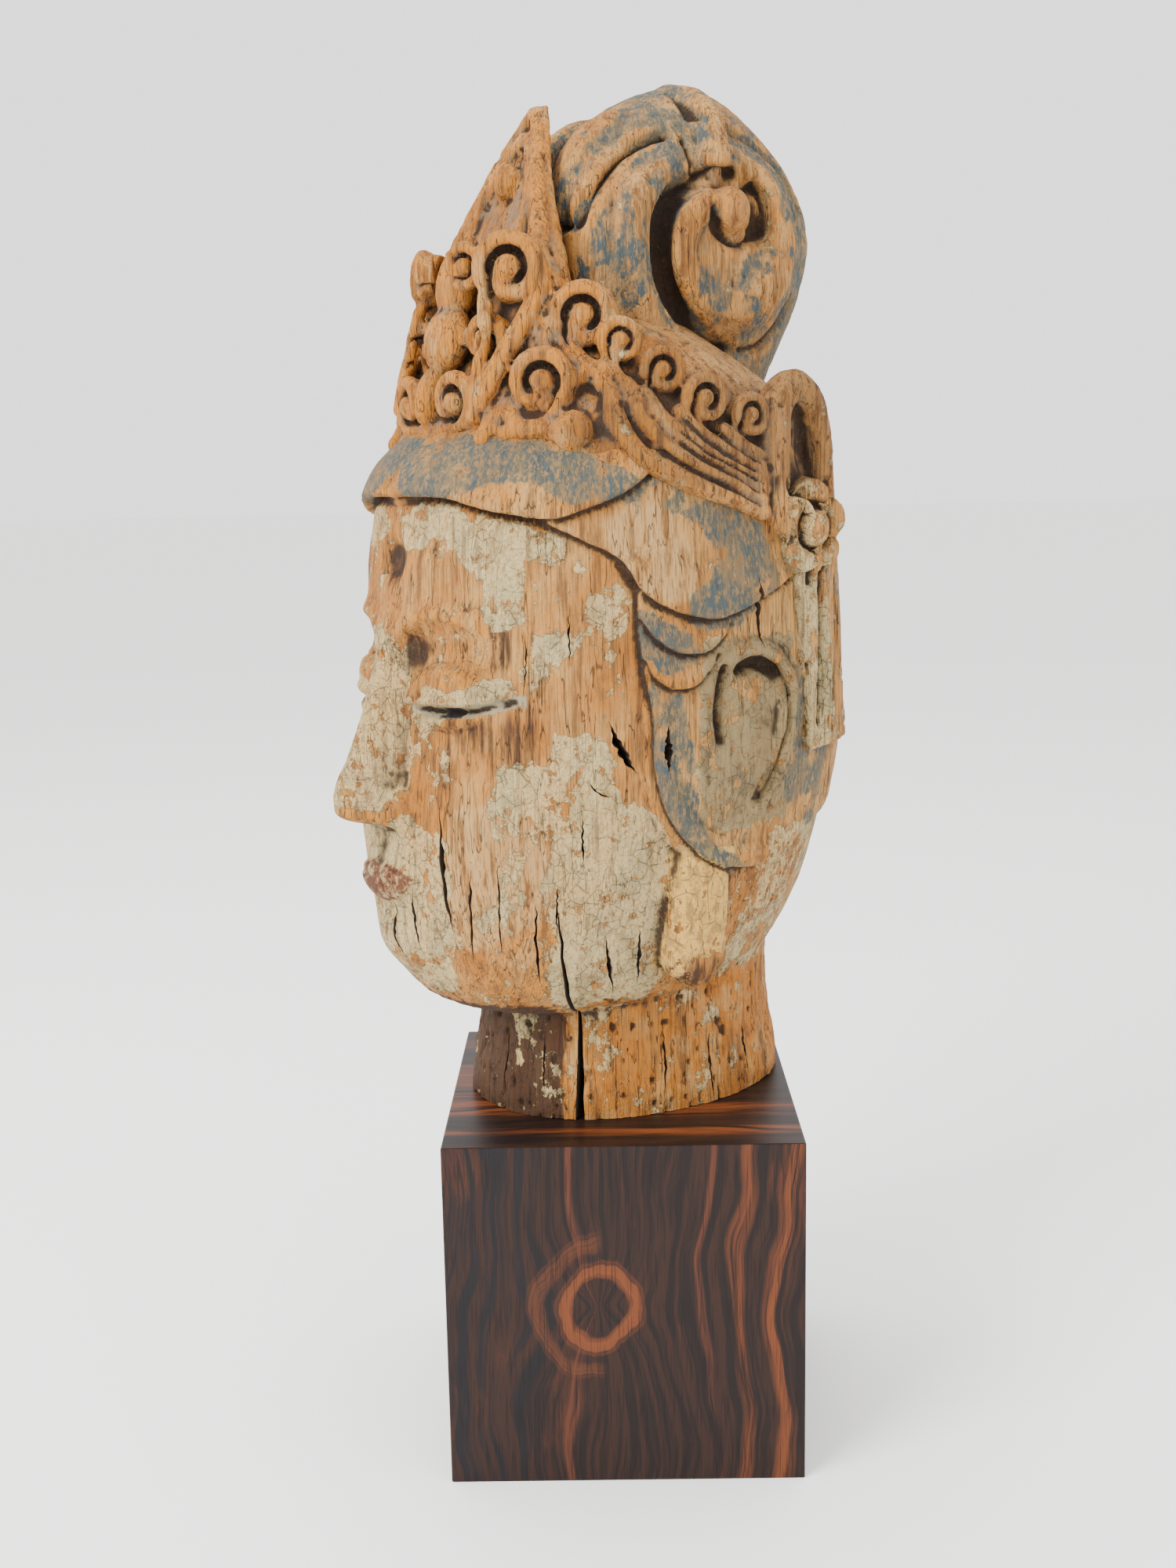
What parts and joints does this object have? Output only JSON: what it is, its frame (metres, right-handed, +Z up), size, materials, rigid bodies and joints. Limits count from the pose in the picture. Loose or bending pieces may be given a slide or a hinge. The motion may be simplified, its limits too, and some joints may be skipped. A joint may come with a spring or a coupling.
{
  "type": "carved wooden bodhisattva head on a plinth",
  "caption": "Weathered carved wooden head of a bodhisattva with a scroll crown, ribbons and tall coiled topknot, standing on a dark veneered cube plinth.",
  "frame": {"origin": "centre of the plinth's underside, on the surface it stands on", "axes": "+Z up; the plinth's sides lie along X and Y; +X points to the plinth's front, and the head looks to -Y turned 34 degrees towards +X"},
  "size_m": [0.2065, 0.2217, 0.5919],
  "materials": {
    "weathered_wood": "bare weathered wood with worn gesso and blue-grey paint",
    "ebony_veneer": "satin striped dark veneer"
  },
  "bodies": {
    "root": {"carved_head": "weathered_wood", "plinth": "ebony_veneer"}
  },
  "joints": []
}
